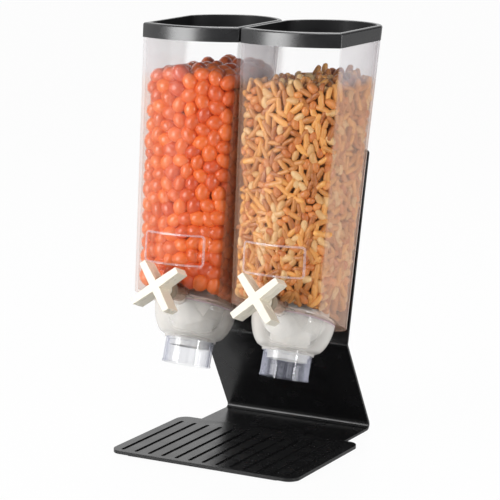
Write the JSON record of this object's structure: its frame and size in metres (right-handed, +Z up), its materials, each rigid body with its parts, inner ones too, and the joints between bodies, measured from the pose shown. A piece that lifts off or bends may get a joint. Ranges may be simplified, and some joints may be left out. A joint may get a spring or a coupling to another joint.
{
  "type": "gravity food dispenser",
  "caption": "Gravity dispenser for dry foods: lidded clear hoppers side by side on a bent black stand, each with an X-shaped knob that turns a paddle wheel over a clear spout.",
  "frame": {"origin": "on the table, under the middle of the dispenser's box", "axes": "+Z up; -Y towards the user, who faces the knobs; +X to the user's right"},
  "size_m": [0.264, 0.244, 0.505],
  "materials": {
    "black_powder_coat": "satin black powder coat",
    "black_plastic": "fine-grained black moulding",
    "black_rubber": "matte rubber",
    "black_anodised": "black anodised extrusion",
    "zinc_steel": "zinc-plated",
    "clear_plastic": "clear, polished",
    "clear_frame": "clear raised frame",
    "frosted_plastic": "clear, lightly frosted",
    "charcoal_plastic": "glossy charcoal moulding",
    "grey_rubber": "soft grey gasket",
    "milky_plastic": "translucent, milky",
    "lilac_rubber": "soft pale gasket",
    "white_plastic": "satin white moulding",
    "clear_spout": "clear tube",
    "beige_acetal": "satin acetal",
    "polished_steel": "ground stainless steel",
    "white_rubber": "soft food-grade rubber",
    "ivory_plastic": "satin ivory moulding"
  },
  "bodies": {
    "stand": {"stand_plate": "black_powder_coat", "rubber_feet": "black_rubber", "left_hanger": "black_anodised", "right_hanger": "black_anodised", "hanger_screws": "zinc_steel", "hanger_nuts": "zinc_steel", "bumpers": "black_rubber"},
    "tray": {"catch_tray": "black_plastic"},
    "left_hopper_unit": {"left_hopper": "clear_plastic", "left_label_frame": "clear_frame", "left_hook": "frosted_plastic", "left_bowl": "milky_plastic", "left_bowl_gasket": "lilac_rubber", "left_chute": "white_plastic", "left_spout": "clear_spout", "left_spout_nut": "white_plastic", "left_front_bush": "beige_acetal", "left_rear_bush": "beige_acetal"},
    "left_lid_unit": {"left_lid": "charcoal_plastic", "left_lid_gasket": "grey_rubber"},
    "left_rotor": {"left_axle": "polished_steel", "left_axle_clip": "polished_steel", "left_wheel_hub": "white_plastic", "left_wheel_vanes": "white_rubber", "left_knob": "ivory_plastic"},
    "right_hopper_unit": {"right_hopper": "clear_plastic", "right_label_frame": "clear_frame", "right_hook": "frosted_plastic", "right_bowl": "milky_plastic", "right_bowl_gasket": "lilac_rubber", "right_chute": "white_plastic", "right_spout": "clear_spout", "right_spout_nut": "white_plastic", "right_front_bush": "beige_acetal", "right_rear_bush": "beige_acetal"},
    "right_lid_unit": {"right_lid": "charcoal_plastic", "right_lid_gasket": "grey_rubber"},
    "right_rotor": {"right_axle": "polished_steel", "right_axle_clip": "polished_steel", "right_wheel_hub": "white_plastic", "right_wheel_vanes": "white_rubber", "right_knob": "ivory_plastic"}
  },
  "joints": [
    {"name": "tray_slide", "type": "slide", "parent": "stand", "child": "tray", "axis": [0, -1, 0], "range_m": [0, 0.17]},
    {"name": "left_hopper_lift", "type": "slide", "parent": "stand", "child": "left_hopper_unit", "axis": [0, 0.2275, 0.9738], "range_m": [0, 0.3]},
    {"name": "left_lid_lift", "type": "slide", "parent": "left_hopper_unit", "child": "left_lid_unit", "axis": [0, 0.1571, 0.9876], "range_m": [0, 0.12]},
    {"name": "left_knob_turn", "type": "hinge", "parent": "left_hopper_unit", "child": "left_rotor", "pos_m": [-0.0665, -0.01303, 0.1738], "axis": [0, -0.9397, 0.342], "continuous": true},
    {"name": "right_hopper_lift", "type": "slide", "parent": "stand", "child": "right_hopper_unit", "axis": [0, 0.2275, 0.9738], "range_m": [0, 0.3]},
    {"name": "right_lid_lift", "type": "slide", "parent": "right_hopper_unit", "child": "right_lid_unit", "axis": [0, 0.1571, 0.9876], "range_m": [0, 0.12]},
    {"name": "right_knob_turn", "type": "hinge", "parent": "right_hopper_unit", "child": "right_rotor", "pos_m": [0.0665, -0.01303, 0.1738], "axis": [0, -0.9397, 0.342], "continuous": true}
  ]
}
